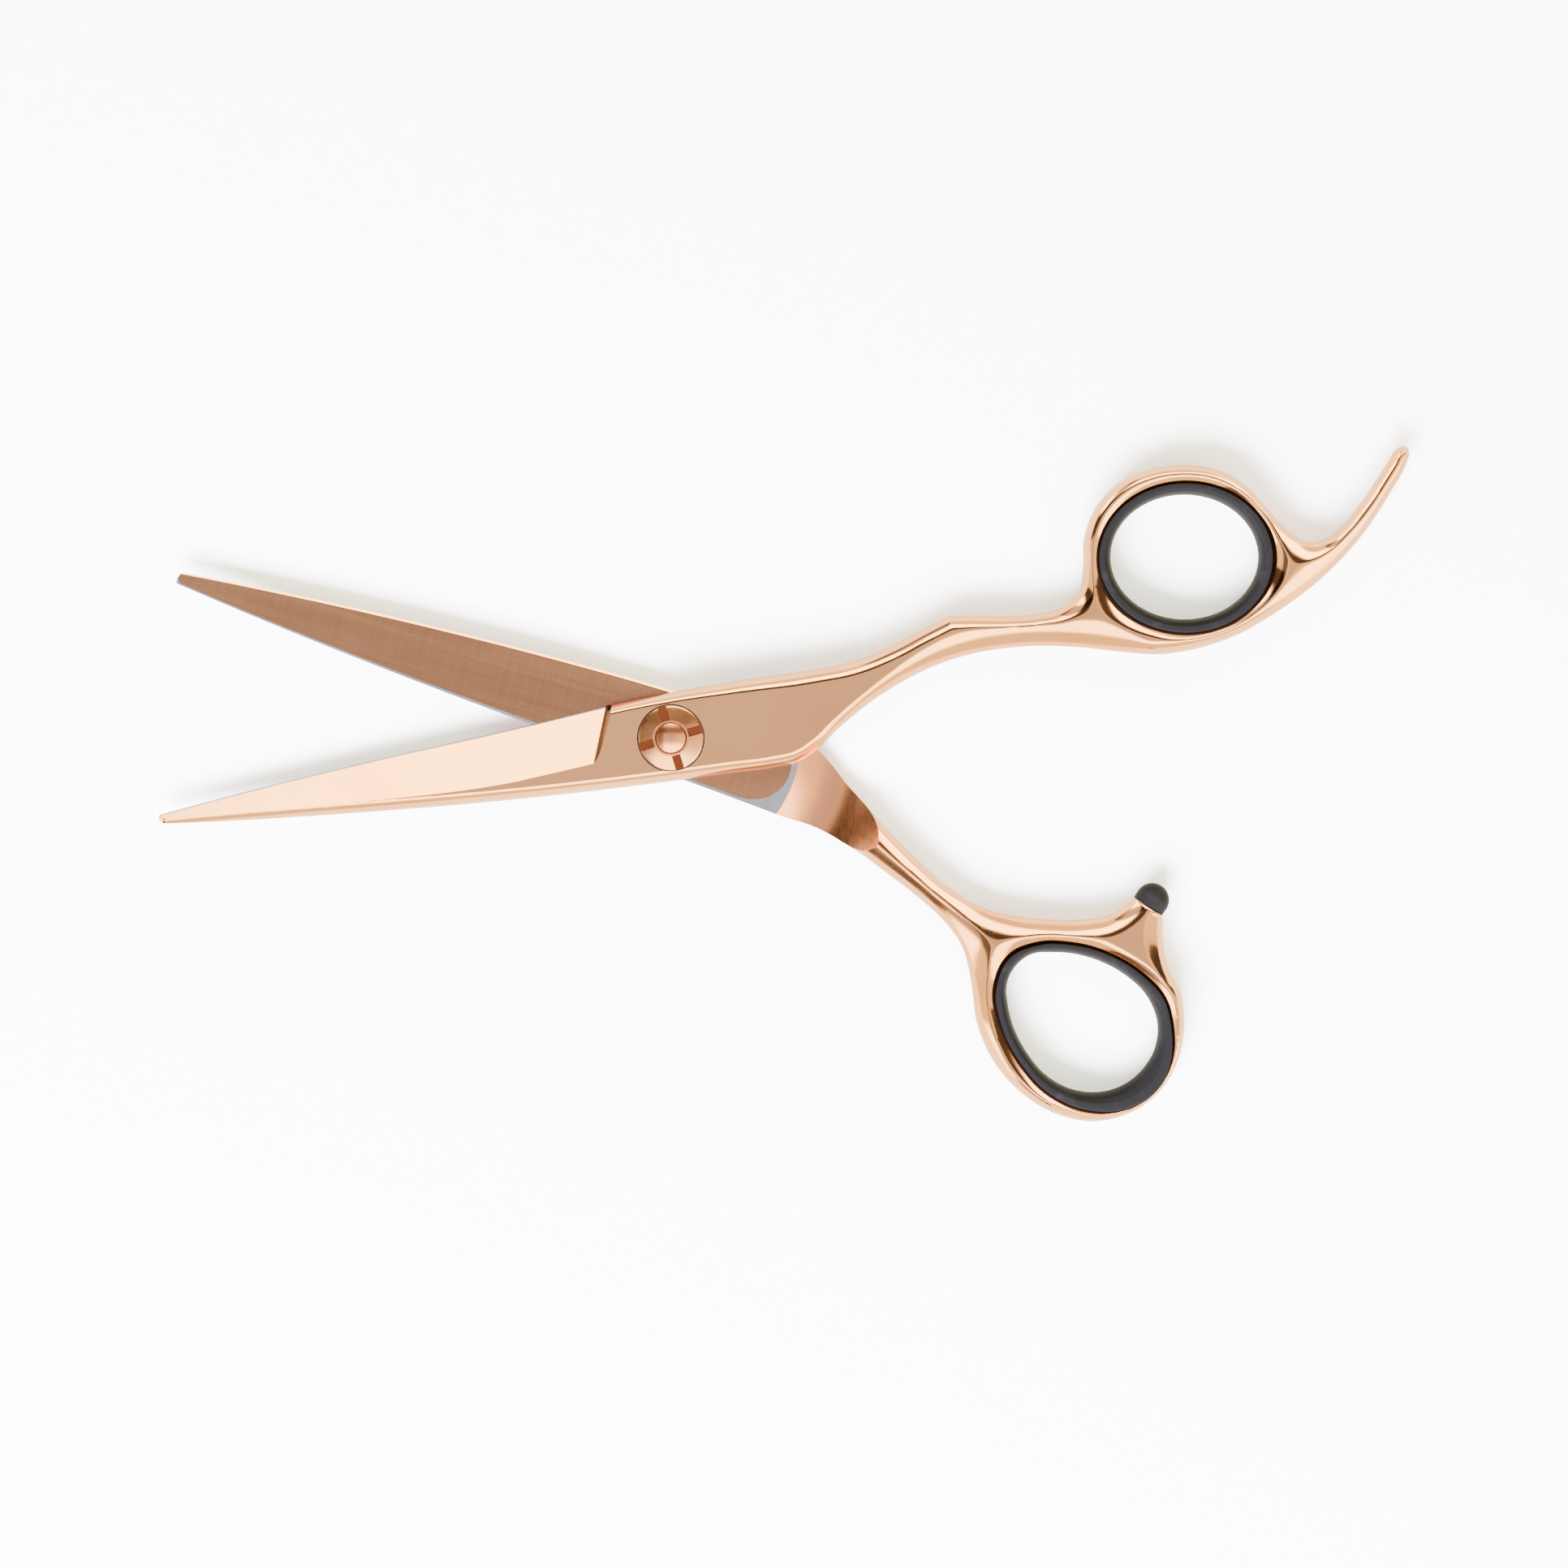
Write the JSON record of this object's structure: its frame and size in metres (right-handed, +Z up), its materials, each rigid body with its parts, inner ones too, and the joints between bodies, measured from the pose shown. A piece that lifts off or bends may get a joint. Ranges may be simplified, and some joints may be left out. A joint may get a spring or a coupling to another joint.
{
  "type": "hair cutting shears",
  "caption": "Offset hair cutting shears with rose gold finish, rubber ring inserts, an integral finger rest, a rubber bumper and a four-slotted tension nut.",
  "frame": {"origin": "on the pivot axis, in the plane of the table that the shears lie on: the middle of the pivot post head's flat underside", "axes": "+Z up along the pivot axis out of the table, +X from the pivot towards the finger rings, -X towards the blade tips, +Y towards the finger ring's side"},
  "size_m": [0.1661, 0.0898, 0.0069],
  "materials": {
    "polished_pvd": "mirror polished rose gold coating on stainless steel",
    "brushed_pvd": "fine brushed rose gold coating on stainless steel",
    "black_rubber": "satin moulded rubber",
    "bushing_plastic": "plain low-friction plastic",
    "spring_steel": "ground spring steel",
    "cage_brass": "pressed sheet",
    "ball_steel": "polished"
  },
  "bodies": {
    "finger_half": {"finger_blade": "polished_pvd", "finger_handle": "polished_pvd", "finger_insert": "black_rubber", "pivot_bush": "bushing_plastic", "lower_race": "spring_steel"},
    "thumb_half": {"thumb_blade": "brushed_pvd", "thumb_handle": "polished_pvd", "thumb_insert": "black_rubber", "bumper": "black_rubber", "pivot_post": "polished_pvd", "ride_washer": "bushing_plastic", "upper_race": "spring_steel", "click_spring": "spring_steel"},
    "bearing": {"bearing_cage": "cage_brass", "bearing_balls": "ball_steel"},
    "nut": {"tension_nut": "polished_pvd"}
  },
  "joints": [
    {"name": "blade_pivot", "type": "hinge", "parent": "finger_half", "child": "thumb_half", "pos_m": [0, 0, 0.003], "axis": [0, 0, 1], "range_deg": [-120, 26.2]},
    {"name": "bearing_spin", "type": "hinge", "parent": "finger_half", "child": "bearing", "pos_m": [0, 0, 0.0045], "axis": [0, 0, 1], "range_deg": [-60, 13.1]},
    {"name": "tension_adjust", "type": "hinge", "parent": "thumb_half", "child": "nut", "pos_m": [0, 0, 0.0057], "axis": [0, 0, 1], "range_deg": [-180, 90]}
  ],
  "couplings": [
    {"joint": "bearing_spin", "follows": "blade_pivot", "ratio": 0.5}
  ]
}
